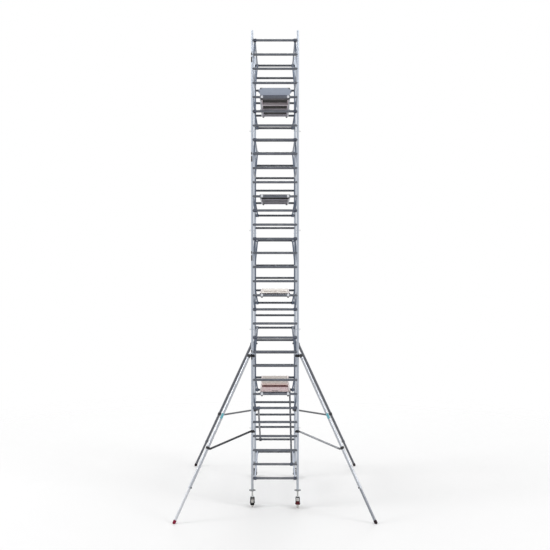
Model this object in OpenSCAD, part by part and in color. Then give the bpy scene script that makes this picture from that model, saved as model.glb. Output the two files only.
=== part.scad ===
// Mobile tower scaffold. Two stacks of ladder frames stand on adjustable castors.
// Platforms with hatches, guard frames and braces join the two stacks, and four
// telescopic stabilisers prop the corners.
// X runs across the frames, Y along the platforms and Z up. The floor is Z = 0.

/* [Frames] */
// Distance between the centres of two rungs
rung_pitch = 280; // [260:1:300]
// Distance between the two upright centres of a frame
frame_width = 900; // [880:1:1350]
// Distance between the front and the rear frames
tower_length = 2500; // [1900:1:3050]
// Height of the lowest rung above the floor
first_rung = 580; // [560:1:640]
// Outer diameter of an upright
post_d = 50; // [46:0.5:51]
// Wall of an upright
post_wall = 2.5; // [2:0.1:3.5]
// Outer diameter of a rung
rung_d = 48; // [40:0.5:49]
// Wall of a rung
rung_wall = 2; // [1.5:0.1:3]
// Height of the joint between two frames above the top rung of the lower frame
joint_rise = 60; // [45:1:75]
// Length of the spigot on top of an upright
spigot_len = 135; // [120:1:150]
// Length of the upright below the lowest rung
base_drop = 220; // [190:1:225]

/* [Locking clips] */
// Diameter of the pin of a locking clip
clip_d = 8; // [6:0.5:10]
// Height of a locking clip above its joint
clip_rise = 105; // [80:1:112]
// Mean diameter of the clip's pull ring
clip_ring_d = 26; // [20:1:32]
// Wire thickness of the pull ring
clip_wire = 3.5; // [2.5:0.1:5]

/* [Platforms] */
// Width of a platform
platform_w = 600; // [580:1:620]
// Width of the side and end profiles
rail_w = 30; // [26:1:34]
// Height of the side and end profiles
rail_h = 70; // [60:1:90]
// Wall of the profiles
rail_wall = 3; // [2:0.1:4]
// Thickness of the deck board
deck_t = 12; // [9:0.5:15]
// Height of the walking surface above the centre of the rung
deck_rise = 40; // [34:1:46]
// Width of the ledge that carries the board
ledge_w = 14; // [10:1:20]
// Thickness of the ledge
ledge_t = 4; // [3:0.5:6]
// Width of a cross beam
cross_w = 40; // [30:1:60]
// Length of the hatch bay
hatch_len = 800; // [700:1:900]
// Distance of the second cross beam from the hinge line
cross_step = 790; // [600:1:850]
// Distance between the two hooks of one end
hook_spread = 520; // [440:1:530]
// Width of a platform hook
hook_w = 44; // [30:1:60]
// Diameter of the hatch hinge pin
hinge_pin_d = 8; // [6:0.5:10]
// Outer diameter of a hinge knuckle
knuckle_d = 15; // [13:0.5:18]

/* [Toe boards] */
// Height of a toe board
toe_h = 150; // [120:1:200]
// Thickness of a toe board
toe_t = 22; // [16:1:28]

/* [Guard frames] */
// Outer diameter of the guard tubes
guard_d = 34; // [28:0.5:36]
// Wall of the guard tubes
guard_wall = 2; // [1.5:0.1:3]
// Distance of the claws inwards from the upright centre
guard_inset = 52; // [48:1:70]
// Outward bow of the guard uprights between the claws
guard_bow = 42; // [30:1:44]
// Distance of the guard uprights behind the rungs
guard_back = 48; // [47:1:60]
// Height of the knee rail above the platform's rung
knee_rise = 560; // [480:1:620]

/* [Claws and braces] */
// Width of a claw
claw_w = 34; // [26:1:40]
// Wall of a claw
claw_t = 9; // [6:0.5:11]
// Outer diameter of a brace
brace_d = 38; // [30:0.5:42]
// Wall of a brace
brace_wall = 2; // [1.5:0.1:3]
// Distance of the lowest side braces inwards from the upright centre
side_inset = 52; // [50:1:60]
// Distance of the diagonals inwards from the upright centre
diagonal_inset = 120; // [112:1:128]

/* [Castors and legs] */
// Diameter of a wheel
wheel_d = 180; // [150:1:200]
// Width of a wheel
wheel_w = 40; // [36:1:50]
// Diameter of the wheel axle
axle_d = 14; // [12:0.5:18]
// Distance of the axle behind the swivel axis
trail = 42; // [30:1:55]
// Thickness of an arm of the cast fork
fork_t = 16; // [12:0.5:18]
// Diameter of the kingpin
kingpin_d = 20; // [16:0.5:26]
// Outer diameter of the threaded leg
leg_d = 35; // [30:0.5:38]
// Length of the threaded leg above its flange
leg_len = 430; // [380:10:480]
// Pitch of the thread
thread_pitch = 10; // [8:1:12]
// Depth of the thread
thread_depth = 2; // [1.5:0.1:2.5]
// Outer diameter of the adjusting nut
nut_d = 66; // [58:1:72]
// Height of the adjusting nut
nut_h = 34; // [28:1:40]
// Distance between the tips of the nut's two wings
nut_span = 108; // [96:1:140]
// Width of the brake pedal
pedal_w = 82; // [60:1:90]
// Length of the brake pedal
pedal_len = 70; // [55:1:75]

/* [Stabilisers] */
// Outer diameter of the stabiliser tube
stab_d = 58; // [52:0.5:60]
// Wall of the stabiliser tube
stab_wall = 2.5; // [2:0.1:3.5]
// Distance of the foot from the upright centre, on the floor
stab_reach = 1832; // [1500:1:2000]
// Angle of the stabiliser to the frames, seen from above
stab_angle = 38.5; // [32:0.5:45]
// Height of the upper coupler
stab_top = 3020; // [2950:1:3040]
// Distance of the stabiliser tube from the upright centre at the upper coupler
stab_offset = 84; // [80:1:100]
// Length of the outer tube below the upper coupler
stab_outer_len = 2790; // [2500:1:2900]
// Length of the inner tube that stays inside the outer tube
stab_overlap = 560; // [520:1:640]
// Wall of the inner tube
stab_leg_wall = 2.2; // [1.5:0.1:3]
// Height of the lower coupler
arm_top = 1517; // [1508:1:1524]
// Distance of the arm's clamp from the upper coupler, along the tube
arm_at = 1964; // [1800:1:2100]
// Outer diameter of the arm
arm_d = 40; // [34:0.5:44]
// Wall of the arm
arm_wall = 2; // [1.5:0.1:3]
// Height of a coupler
coupler_h = 50; // [40:1:56]
// Wall of a coupler
coupler_t = 8; // [6:0.5:9]
// Wall of the rubber foot round the inner tube
foot_wall = 3.8; // [3:0.1:6]

/* [Hidden] */
$fn = 48;

// Gap at a weld, rivet or press fit
weld_gap = 0.1;
// Gap where a piece rests on or hooks over another
seat_gap = 0.3;
// Radial gap of a pin that turns in its bore
run_gap = 0.08;
// Gap beside a board or a hatch
board_gap = 1;
hatch_gap = 3;
// Overshoot of a cutting tool
cut = 1;

base_rungs = 4;
frame_rungs = 7;
levels = 4;
platform_step = 7;
guard_up = 4;
guard_down = 1;
side_rung = 1;
diagonal_low = 2;
diagonal_high = 6;

SIDES = ["front", "rear"];
CORNERS = ["front_left", "front_right", "rear_left", "rear_right"];
CORNER_SIGNS = [[-1, -1], [1, -1], [-1, 1], [1, 1]];
CASTOR_TURNS = [180, 0, 180, 0];

half_w = frame_width / 2;
half_l = tower_length / 2;
post_r = post_d / 2;
post_bore = post_d - 2 * post_wall;
spigot_d = post_bore - 2 * seat_gap;
swage_len = 12;
rung_r = rung_d / 2;
base_end = first_rung - base_drop;
clip_hole_d = clip_d + 2 * seat_gap;

function rung_z(n) = first_rung + (n - 1) * rung_pitch;
function joint_z(k) = rung_z(base_rungs + k * frame_rungs) + joint_rise;
function platform_z(k) = rung_z(k * platform_step);

// Upright of a frame from z0 to z1, with its spigot above z1.
module upright(z0, z1, socket) {
    bore_top = z1 - swage_len;
    difference() {
        union() {
            translate([0, 0, z0])
                cylinder(d = post_d, h = z1 - z0);
            translate([0, 0, bore_top])
                cylinder(d = spigot_d, h = swage_len + spigot_len);
        }
        translate([0, 0, z0 - cut])
            cylinder(d = post_bore, h = bore_top - z0 + cut);
        translate([0, 0, bore_top - cut])
            cylinder(d = spigot_d - 2 * post_wall, h = swage_len + spigot_len + 2 * cut);
        translate([0, 0, z1 + clip_rise])
            rotate([0, 90, 0])
            cylinder(d = clip_hole_d, h = 2 * post_d, center = true);
        if (socket)
            translate([0, 0, z0 + clip_rise])
                rotate([0, 90, 0])
                cylinder(d = clip_hole_d, h = 2 * post_d, center = true);
    }
}

// Rung between two uprights, its ends shaped to their round sides.
module rung() {
    rotate([0, 90, 0])
        difference() {
            cylinder(d = rung_d, h = frame_width, center = true);
            cylinder(d = rung_d - 2 * rung_wall, h = frame_width + 2 * cut, center = true);
            for (s = [-1, 1])
                translate([0, 0, s * half_w])
                    rotate([0, 90, 0])
                    cylinder(d = post_d + 2 * weld_gap, h = 2 * rung_d, center = true);
        }
}

module ladder(y, first, count, z0, z1, socket) {
    color("silver") {
        for (s = [-1, 1])
            translate([s * half_w, y, 0])
                upright(z0, z1, socket);
        for (n = [first:first + count - 1])
            translate([0, y, rung_z(n)])
                rung();
    }
}

module base_frame(side) {
    ladder(side * half_l, 1, base_rungs, base_end, joint_z(0), false);
}

module frame(side, k) {
    first = base_rungs + (k - 1) * frame_rungs + 1;
    ladder(side * half_l, first, frame_rungs, joint_z(k - 1), joint_z(k), true);
}

// Pin across a frame joint, with a pull ring on its outer end.
module locking_clip() {
    inner_end = post_r + clip_d;
    ring_at = post_r + clip_wire + clip_ring_d / 2;
    neck_end = ring_at - clip_ring_d / 2;
    translate([-inner_end, 0, 0])
        rotate([0, 90, 0])
        cylinder(d = clip_d, h = inner_end + neck_end);
    translate([ring_at, 0, 0])
        rotate([90, 0, 0])
        rotate_extrude()
        translate([clip_ring_d / 2, 0])
        circle(d = clip_wire);
}

module locking_clips() {
    color("gainsboro")
        for (k = [0:levels - 1], p = CORNER_SIGNS)
            translate([p[0] * half_w, p[1] * half_l, joint_z(k) + clip_rise])
                rotate([0, 0, p[0] > 0 ? 0 : 180])
                locking_clip();
}

claw_in = rung_r + seat_gap;
claw_r = claw_in + claw_t;

// Hook over a rung that runs along X through the origin, open downwards.
module claw_cut(w) {
    rotate([0, 90, 0])
        cylinder(r = claw_in, h = w + 2 * cut, center = true);
    translate([0, 0, -claw_r])
        cube([w + 2 * cut, 2 * claw_in, 2 * claw_r], center = true);
}

module claw_ring(w) {
    rotate([0, 90, 0])
        cylinder(r = claw_r, h = w, center = true);
}

rail_half = half_l - claw_r - weld_gap;
rail_x = platform_w / 2 - rail_w;
deck_under = deck_rise - deck_t;
bay_start = -rail_half + rail_w;
hinge_y = bay_start + hatch_len;
hinge_z = deck_rise + seat_gap + knuckle_d / 2;
hook_drop = 14;
hinge_leaf = 40;
hinge_leaf_t = 3;
hinge_x = 150;
moving_knuckle = 60;
fixed_knuckle = 44;
knuckle_gap = 1;

module ledge_notch() {
    for (s = [-1, 1])
        translate([s * (rail_x - ledge_w / 2), 0, deck_under - ledge_t / 2])
            cube([ledge_w + 2 * weld_gap, 2 * half_l, ledge_t + 2 * weld_gap], center = true);
}

// Side profile with the ledge that carries the board.
module side_rail() {
    rotate([90, 0, 0])
        linear_extrude(height = 2 * rail_half, center = true)
        difference() {
            union() {
                translate([rail_x, deck_rise - rail_h])
                    square([rail_w, rail_h]);
                translate([rail_x - ledge_w, deck_under - ledge_t])
                    square([ledge_w + rail_wall, ledge_t]);
            }
            translate([rail_x + rail_wall, deck_rise - rail_h + rail_wall])
                square([rail_w - 2 * rail_wall, rail_h - 2 * rail_wall]);
        }
}

// Hollow profile across the platform, between z0 and z1.
module cross_profile(y, w, z0, z1) {
    len = 2 * (rail_x - weld_gap);
    difference() {
        translate([-len / 2, y - w / 2, z0])
            cube([len, w, z1 - z0]);
        translate([-len / 2 - cut, y - w / 2 + rail_wall, z0 + rail_wall])
            cube([len + 2 * cut, w - 2 * rail_wall, z1 - z0 - 2 * rail_wall]);
        ledge_notch();
    }
}

module platform_hook() {
    difference() {
        union() {
            claw_ring(hook_w);
            translate([-hook_w / 2, -claw_r, -hook_drop])
                cube([hook_w, 2 * claw_r, hook_drop]);
        }
        claw_cut(hook_w);
    }
}

// Hinge pin with its three fixed knuckles and leaves.
module hinge_fixed() {
    pin_len = 2 * (hinge_x + moving_knuckle / 2 + knuckle_gap + fixed_knuckle);
    side_x = (pin_len - fixed_knuckle) / 2;
    translate([0, hinge_y, hinge_z])
        rotate([0, 90, 0])
        cylinder(d = hinge_pin_d, h = pin_len, center = true);
    for (x = [-side_x, 0, side_x]) {
        translate([x, hinge_y, hinge_z])
            rotate([0, 90, 0])
            cylinder(d = knuckle_d, h = fixed_knuckle, center = true);
        translate([x - fixed_knuckle / 2, hinge_y, deck_rise + weld_gap])
            cube([fixed_knuckle, hinge_leaf, hinge_leaf_t]);
    }
}

module platform_frame(k) {
    color("lightsteelblue")
        translate([0, 0, platform_z(k)]) {
            for (s = [0, 1])
                mirror([s, 0, 0])
                    side_rail();
            for (s = [-1, 1])
                cross_profile(s * (rail_half - rail_w / 2), rail_w, deck_rise - rail_h, deck_rise);
            for (y = [hinge_y, hinge_y + cross_step])
                cross_profile(y, cross_w, deck_rise - rail_h, deck_under);
            for (x = [-hook_spread / 2, hook_spread / 2], y = [-half_l, half_l])
                translate([x, y, 0])
                    platform_hook();
            hinge_fixed();
        }
}

module deck_boards() {
    board_x = rail_x - board_gap;
    board_y = hinge_y + board_gap;
    board_end = rail_half - rail_w - board_gap;
    color("tan")
        for (k = [1:levels])
            translate([-board_x, board_y, platform_z(k) + deck_under])
                cube([2 * board_x, board_end - board_y, deck_t]);
}

// Lid of the hatch bay, and two hinge leaves that turn on the pin.
module hatch(k) {
    lid_x = rail_x - hatch_gap;
    lid_len = hatch_len - 2 * hatch_gap;
    color("peru")
        translate([0, 0, platform_z(k)]) {
            translate([-lid_x, bay_start + hatch_gap, deck_under + seat_gap])
                cube([2 * lid_x, lid_len, deck_t - seat_gap]);
            for (s = [-1, 1])
                translate([s * hinge_x, hinge_y, 0])
                    difference() {
                        union() {
                            translate([0, 0, hinge_z])
                                rotate([0, 90, 0])
                                cylinder(d = knuckle_d, h = moving_knuckle, center = true);
                            translate([-moving_knuckle / 2, -hinge_leaf, deck_rise + weld_gap])
                                cube([moving_knuckle, hinge_leaf, hinge_leaf_t]);
                        }
                        translate([0, 0, hinge_z])
                            rotate([0, 90, 0])
                            cylinder(d = hinge_pin_d + 2 * run_gap, h = 2 * moving_knuckle, center = true);
                    }
        }
}

toe_tab = 37;
toe_top_in = 9;
toe_foot_in = 28;
toe_side_in = 18;
toe_plate_t = 4;
toe_plate = 46;

// Boards round the edge of the top platform, with tabs and corner plates.
module toe_boards() {
    toe_z = platform_z(levels) + deck_rise;
    edge_x = platform_w / 2;
    top_x = edge_x - toe_top_in;
    foot_x = edge_x - toe_foot_in;
    tab_x = edge_x + toe_tab;
    long_y = rail_half - toe_t - weld_gap;
    plate_z = toe_h + weld_gap;
    color("slategray")
        translate([0, 0, toe_z]) {
            for (s = [-1, 1]) {
                translate([s * (edge_x - toe_side_in), 0, toe_h / 2])
                    cube([toe_t, 2 * long_y, toe_h], center = true);
                translate([0, s * (rail_half - toe_t / 2), 0])
                    rotate([90, 0, 0])
                    linear_extrude(height = toe_t, center = true)
                    polygon([
                        [-foot_x, 0], [foot_x, 0], [tab_x, toe_h / 2],
                        [top_x, toe_h], [-top_x, toe_h], [-tab_x, toe_h / 2]
                    ]);
            }
            for (p = CORNER_SIGNS)
                translate([p[0] * (top_x - toe_plate / 2), p[1] * (rail_half - toe_plate / 2), plate_z])
                    translate([-toe_plate / 2, -toe_plate / 2, 0])
                    cube([toe_plate, toe_plate, toe_plate_t]);
        }
}

guard_x = half_w - guard_inset;
guard_y = half_l - guard_back;
guard_hand = guard_up * rung_pitch;
guard_low = -guard_down * rung_pitch;
guard_over = 34;
bow_above = 90;
guard_bow_top = knee_rise + bow_above;
guard_straight = 45;

function heading(a, b) = atan2(b[0] - a[0], b[1] - a[1]);

// One straight length of a bent tube along points in the XZ plane, mitred at each bend.
module mitred_length(p, i, d, w) {
    a = p[i];
    b = p[i + 1];
    turn = heading(a, b);
    first = i == 0;
    last = i == len(p) - 2;
    start = first ? 0 : d;
    len = norm(b - a) + start + (last ? 0 : d);
    difference() {
        translate([a[0], 0, a[1]])
            rotate([0, turn, 0])
            translate([0, 0, -start])
            difference() {
                cylinder(d = d, h = len);
                translate([0, 0, -cut])
                    cylinder(d = d - 2 * w, h = len + 2 * cut);
            }
        if (!first)
            translate([a[0], 0, a[1]])
                rotate([0, (heading(p[i - 1], a) + turn) / 2, 0])
                translate([0, 0, -2 * d])
                cube(4 * d, center = true);
        if (!last)
            translate([b[0], 0, b[1]])
                rotate([0, (turn + heading(b, p[i + 2])) / 2, 0])
                translate([0, 0, 2 * d])
                cube(4 * d, center = true);
    }
}

// Bent tube along points in the XZ plane. d is the outer diameter and w the wall.
module bent_tube(p, d, w) {
    for (i = [0:len(p) - 2])
        mitred_length(p, i, d, w);
}

function guard_path() = [
    [guard_x, guard_low - guard_over],
    [guard_x, guard_low + guard_straight],
    [guard_x + guard_bow, 0],
    [guard_x + guard_bow, guard_bow_top],
    [guard_x, guard_hand - guard_straight],
    [guard_x, guard_hand + guard_over]
];

module guard_rail(x, z) {
    difference() {
        translate([x, 0, z])
            rotate([90, 0, 0])
            cylinder(d = guard_d, h = 2 * guard_y, center = true);
        translate([x, 0, z])
            rotate([90, 0, 0])
            cylinder(d = guard_d - 2 * guard_wall, h = 2 * half_l, center = true);
        for (s = [-1, 1])
            translate([x, s * guard_y, z - guard_d])
                cylinder(d = guard_d + 2 * weld_gap, h = 2 * guard_d);
    }
}

// Claw that hooks a guard upright to a rung of the frame at the side s.
module guard_claw(s, z) {
    difference() {
        translate([guard_x, s * half_l, z])
            union() {
                claw_ring(claw_w);
                translate([-claw_w / 2, s > 0 ? -guard_back : 0, 0])
                    cube([claw_w, guard_back, claw_r - claw_t / 2]);
            }
        translate([guard_x, s * half_l, z])
            claw_cut(claw_w);
        translate([guard_x, s * guard_y, z - claw_r])
            cylinder(d = guard_d + 2 * weld_gap, h = 3 * claw_r);
    }
}

module guard_frame() {
    for (s = [-1, 1]) {
        translate([0, s * guard_y, 0])
            bent_tube(guard_path(), guard_d, guard_wall);
        for (z = [guard_hand, guard_low])
            guard_claw(s, z);
    }
    guard_rail(guard_x, guard_hand);
    guard_rail(guard_x + guard_bow, knee_rise);
}

module guard_frames(side) {
    color("lightgray")
        for (k = [1:levels])
            translate([0, 0, platform_z(k)])
                mirror([side < 0 ? 1 : 0, 0, 0])
                guard_frame();
}

// Tube with a claw on each end, from a rung of the front frame to one of the rear frame.
module brace(x, front, rear) {
    rise = rung_z(rear) - rung_z(front);
    len = norm([tower_length, rise]);
    translate([x, -half_l, rung_z(front)])
        rotate([atan2(rise, tower_length), 0, 0])
        difference() {
            union() {
                translate([0, claw_in, 0])
                    rotate([-90, 0, 0])
                    cylinder(d = brace_d, h = len - 2 * claw_in);
                for (y = [0, len])
                    translate([0, y, 0])
                        claw_ring(claw_w);
            }
            rotate([-90, 0, 0])
                cylinder(d = brace_d - 2 * brace_wall, h = len);
            for (y = [0, len])
                translate([0, y, 0])
                    claw_cut(brace_d);
        }
}

module braces() {
    color("silver") {
        for (s = [-1, 1])
            brace(s * (half_w - side_inset), side_rung, side_rung);
        brace(-half_w + diagonal_inset, diagonal_high, diagonal_low);
        brace(half_w - diagonal_inset, diagonal_low, diagonal_high);
    }
}

axle_z = wheel_d / 2;
crown_gap = 12;
crown_z = wheel_d + crown_gap;
crown_t = 8;
head_d = 64;
head_h = 16;
castor_top = crown_z + crown_t + head_h;
flange_d = 58;
flange_t = 12;
leg_z = castor_top + seat_gap + flange_t;
kingpin_nut_d = 30;
kingpin_nut_h = 7;
fork_gap = 6;
fork_in = wheel_w / 2 + fork_gap;
fork_leg_w = 34;
fork_set = trail / 4;
bar_lip = 2;
fork_top_gap = 3;
crown_over = 4;
ear_w = 22;
pedal_pin_d = 10;
pedal_hub_d = 18;
pedal_gap = 8;
pedal_t = 7;
pedal_tilt = 45;
// Where the pedal's pin lies from the axle: angle above the level, and distance
pedal_angle = 34;
pedal_out = wheel_d / 2 + pedal_hub_d / 2 + pedal_gap;
pedal_y = -trail - pedal_out * cos(pedal_angle);
pedal_z = axle_z + pedal_out * sin(pedal_angle);
// Bar in front of the wheel that keeps feet clear of it
bumper_gap = 8;
bumper_t = 10;
bumper_h = 44;
bumper_drop = 10;
bumper_y = wheel_d / 2 - trail + bumper_gap + bumper_t / 2;
bumper_z = axle_z - bumper_drop;
hub_d = 48;
hub_out = 4;
web_t = 16;
rim_t = 20;
tread_round = 7;
bolt_head_d = 24;
bolt_head_h = 9;
leg_wall = 4;
// Ends of the root and of the crest, as shares of one thread pitch
thread_root = 0.4;
thread_rise = 0.55;
thread_crest = 0.85;
wing_w = 16;
wing_tip_d = 18;
wing_in = 4;

module at_corner(c, turn) {
    p = CORNER_SIGNS[c];
    translate([p[0] * half_w, p[1] * half_l, 0])
        rotate([0, 0, turn])
        children();
}

// Threaded leg with its flange, and the kingpin that the fork turns on.
module leg() {
    turns = floor(leg_len / thread_pitch);
    r_out = leg_d / 2;
    r_in = r_out - thread_depth;
    color("darkgray")
        difference() {
            union() {
                translate([0, 0, leg_z])
                    rotate_extrude()
                    polygon([
                        [0, 0],
                        for (i = [0:turns - 1], q = [
                            [r_in, 0], [r_in, thread_root], [r_out, thread_rise], [r_out, thread_crest]
                        ])
                            [q[0], (i + q[1]) * thread_pitch],
                        [r_in, turns * thread_pitch],
                        [0, turns * thread_pitch]
                    ]);
                translate([0, 0, leg_z - flange_t])
                    cylinder(d = flange_d, h = flange_t);
                translate([0, 0, crown_z - seat_gap - kingpin_nut_h])
                    cylinder(d = kingpin_d, h = leg_z - crown_z + kingpin_nut_h);
                translate([0, 0, crown_z - seat_gap - kingpin_nut_h])
                    cylinder(d = kingpin_nut_d, h = kingpin_nut_h);
            }
            translate([0, 0, leg_z])
                cylinder(r = r_in - leg_wall, h = leg_len + cut);
        }
}

// Nut under the upright that carries the tower on the thread.
module leg_nut() {
    nut_z = base_end - seat_gap - nut_h;
    wing_h = nut_h - 2 * wing_in;
    wing_z = nut_z + (nut_h - wing_h) / 2;
    color("silver")
        difference() {
            union() {
                translate([0, 0, nut_z])
                    cylinder(d = nut_d, h = nut_h);
                translate([-nut_span / 2, -wing_w / 2, wing_z])
                    cube([nut_span, wing_w, wing_h]);
                for (s = [-1, 1])
                    translate([s * nut_span / 2, 0, wing_z])
                        cylinder(d = wing_tip_d, h = wing_h);
            }
            translate([0, 0, nut_z - cut])
                cylinder(d = leg_d + 2 * seat_gap, h = nut_h + 2 * cut);
        }
}

// Flat bar between two points, with round ends that stand a little proud of its sides.
module bar(a, b, w) {
    side = w / 2 - bar_lip;
    translate(a)
        circle(d = w);
    translate(b)
        circle(d = w);
    translate(a)
        rotate(atan2(b[1] - a[1], b[0] - a[0]))
        translate([0, -side])
        square([norm(b - a), 2 * side]);
}

module fork_plate() {
    rotate([90, 0, 90])
        linear_extrude(height = fork_t)
        difference() {
            union() {
                bar([-fork_set, crown_z + crown_t - fork_top_gap - fork_leg_w / 2], [-trail, axle_z], fork_leg_w);
                bar([-trail, axle_z], [pedal_y, pedal_z], ear_w);
                bar([-trail, axle_z], [bumper_y, bumper_z], ear_w);
            }
            translate([-trail, axle_z])
                circle(d = axle_d + 2 * weld_gap);
        }
}

// Fork with its bearing head and pedal pin, and the axle bolt as a piece of its own.
module castor_fork() {
    crown_x = 2 * (fork_in + fork_t);
    color("dimgray") {
        difference() {
            union() {
                for (x = [-fork_in - fork_t, fork_in])
                    translate([x, 0, 0])
                        fork_plate();
                translate([-crown_x / 2, -head_d / 2 - fork_set - crown_over, crown_z])
                    cube([crown_x, head_d + fork_set + 2 * crown_over, crown_t]);
                translate([0, 0, crown_z])
                    cylinder(d = head_d, h = crown_t + head_h);
                translate([0, pedal_y, pedal_z])
                    rotate([0, 90, 0])
                    cylinder(d = pedal_pin_d, h = crown_x - fork_t, center = true);
                translate([0, bumper_y, bumper_z])
                    cube([crown_x - fork_t, bumper_t, bumper_h], center = true);
            }
            translate([0, 0, crown_z - cut])
                cylinder(d = kingpin_d + 2 * run_gap, h = crown_t + head_h + 2 * cut);
        }
        translate([0, -trail, axle_z])
            rotate([0, 90, 0]) {
                cylinder(d = axle_d, h = crown_x + 2 * weld_gap, center = true);
                for (s = [0, 1])
                    mirror([0, 0, s])
                        translate([0, 0, crown_x / 2 + weld_gap])
                        cylinder(d = bolt_head_d, h = bolt_head_h, $fn = 6);
            }
    }
}

module castor_wheel() {
    r = wheel_d / 2;
    b = axle_d / 2 + run_gap;
    h = wheel_w / 2 + hub_out;
    w = wheel_w / 2;
    color("lightgray")
        translate([0, -trail, axle_z])
        rotate([0, 90, 0])
        rotate_extrude()
        polygon([
            [b, -h], [hub_d / 2, -h], [hub_d / 2 + hub_out, -web_t / 2],
            [r - rim_t - hub_out, -web_t / 2], [r - rim_t, -w],
            [r - tread_round, -w], [r, tread_round - w], [r, w - tread_round], [r - tread_round, w],
            [r - rim_t, w], [r - rim_t - hub_out, web_t / 2],
            [hub_d / 2 + hub_out, web_t / 2], [hub_d / 2, h], [b, h]
        ]);
}

// Pedal that turns on the pin between the fork's ears.
module brake_pedal() {
    hub_len = 2 * (fork_in - knuckle_gap);
    tread_from = ear_w / 2 + pedal_gap;
    color("firebrick")
        translate([0, pedal_y, pedal_z])
        rotate([pedal_tilt, 0, 0])
        difference() {
            union() {
                rotate([0, 90, 0])
                    cylinder(d = pedal_hub_d, h = hub_len, center = true);
                translate([-hub_len / 2, -tread_from - pedal_gap, -pedal_t / 2])
                    cube([hub_len, tread_from + pedal_gap, pedal_t]);
                translate([-pedal_w / 2, -pedal_len, -pedal_t / 2])
                    cube([pedal_w, pedal_len - tread_from, pedal_t]);
            }
            rotate([0, 90, 0])
                cylinder(d = pedal_pin_d + 2 * run_gap, h = 2 * hub_len, center = true);
        }
}

foot_z = 22;
foot_top = 45;
foot_cup = 35;
foot_bead = 1.5;
stab_bore = stab_d - 2 * stab_wall;
stab_leg_d = stab_bore - 2 * seat_gap;
foot_r = stab_leg_d / 2 + weld_gap + foot_wall;
stab_drop = stab_top - foot_z;
stab_run = stab_reach - stab_offset;
stab_tilt = atan2(stab_drop, stab_run);
stab_len = norm([stab_drop, stab_run]);
stab_over = 48;
cap_t = 6;
collar_h = 40;
collar_t = 4;
knob_d = 22;
knob_len = 26;
boss_d = 30;
ear_l = 30;
ear_t = 28;
ear_h = 35;
sleeve_len = 60;
clamp_slit = 5;
clamp_bolt_d = 10;
clamp_bolt_len = 66;
wing_l = 22;
wing_t = 5;
eye_d = 30;
eye_t = 14;
eye_gap = 3;
tongue = 45;
clevis_t = 6;
pivot_d = 12;
pivot_head_d = 20;
pivot_head_h = 7;
hole_d = 9;
hole_step = 120;
hole_count = 5;

// Places pieces along the stabiliser tube: local Z runs from the upper coupler to the foot.
module along(s) {
    translate([stab_offset, 0, stab_top])
        rotate([0, 90 + stab_tilt, 0])
        translate([0, 0, s])
        children();
}

// Turns local X from the upright towards the foot, with local Y away from the tower.
module at_stabiliser(c) {
    p = CORNER_SIGNS[c];
    at_corner(c, atan2(p[1] * sin(stab_angle), p[0] * cos(stab_angle)))
        mirror([0, p[0] * p[1] < 0 ? 1 : 0, 0])
        children();
}

clamp_at = post_r + coupler_t + ear_l / 2;

// Split ring round the upright, with its clamping ears.
module post_ring() {
    cylinder(r = post_r + coupler_t, h = coupler_h, center = true);
    translate([0, clamp_at, 0])
        cube([ear_t, ear_l + 2 * coupler_t, ear_h], center = true);
}

module post_ring_cut() {
    cylinder(r = post_r + seat_gap, h = 2 * coupler_h, center = true);
    translate([0, 2 * post_d, 0])
        cube([clamp_slit, 4 * post_d, 2 * coupler_h], center = true);
    translate([0, clamp_at, 0])
        rotate([0, 90, 0])
        cylinder(d = clamp_bolt_d + 2 * weld_gap, h = 2 * clamp_bolt_len, center = true);
}

// Clamping bolt with a wing nut.
module clamp_bolt() {
    wing_at = ear_t / 2 + weld_gap;
    translate([0, clamp_at, 0])
        rotate([0, 90, 0]) {
            translate([0, 0, -clamp_bolt_len / 2])
                cylinder(d = clamp_bolt_d, h = clamp_bolt_len);
            translate([0, 0, wing_at])
                cylinder(d = 2 * clamp_bolt_d, h = clamp_bolt_d);
            translate([-wing_l, -wing_t / 2, wing_at])
                cube([2 * wing_l, wing_t, clamp_bolt_d]);
            translate([0, 0, -wing_at - clamp_bolt_d])
                cylinder(d = 2 * clamp_bolt_d, h = clamp_bolt_d, $fn = 6);
        }
}

module upper_coupler() {
    difference() {
        union() {
            translate([0, 0, stab_top])
                post_ring();
            along(-sleeve_len / 2)
                cylinder(r = stab_d / 2 + coupler_t, h = sleeve_len);
            translate([post_r, 0, stab_top])
                rotate([0, 90, 0])
                cylinder(d = boss_d, h = stab_offset - post_r);
        }
        translate([0, 0, stab_top])
            post_ring_cut();
        along(-sleeve_len)
            cylinder(r = stab_d / 2 + weld_gap, h = 2 * sleeve_len);
    }
}

// Outer tube with its end cap, upper coupler and locking collar.
module stabiliser_tube() {
    color("silver") {
        along(-stab_over)
            difference() {
                cylinder(d = stab_d, h = stab_over + stab_outer_len);
                translate([0, 0, -cut])
                    cylinder(d = stab_bore, h = stab_over + stab_outer_len + 2 * cut);
            }
        along(-stab_over - cap_t - weld_gap)
            cylinder(d = stab_d, h = cap_t);
    }
    color("black") {
        upper_coupler();
        translate([0, 0, stab_top])
            clamp_bolt();
        along(stab_outer_len - collar_h)
            difference() {
                union() {
                    cylinder(r = stab_d / 2 + collar_t, h = collar_h);
                    translate([0, 0, collar_h / 2])
                        rotate([-90, 0, 0])
                        cylinder(d = knob_d, h = stab_d / 2 + knob_len);
                }
                translate([0, 0, -cut])
                    cylinder(r = stab_d / 2 + weld_gap, h = collar_h + 2 * cut);
            }
    }
}

arm_x0 = post_r + coupler_t + eye_d / 2 + eye_gap;
arm_side = stab_d / 2 + coupler_t + eye_d / 2 + eye_gap;
arm_x1 = stab_offset + arm_at * cos(stab_tilt) - arm_side * sin(stab_tilt);
arm_z1 = stab_top - arm_at * sin(stab_tilt) - arm_side * cos(stab_tilt);
arm_len = norm([arm_x1 - arm_x0, arm_z1 - arm_top]);

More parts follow.
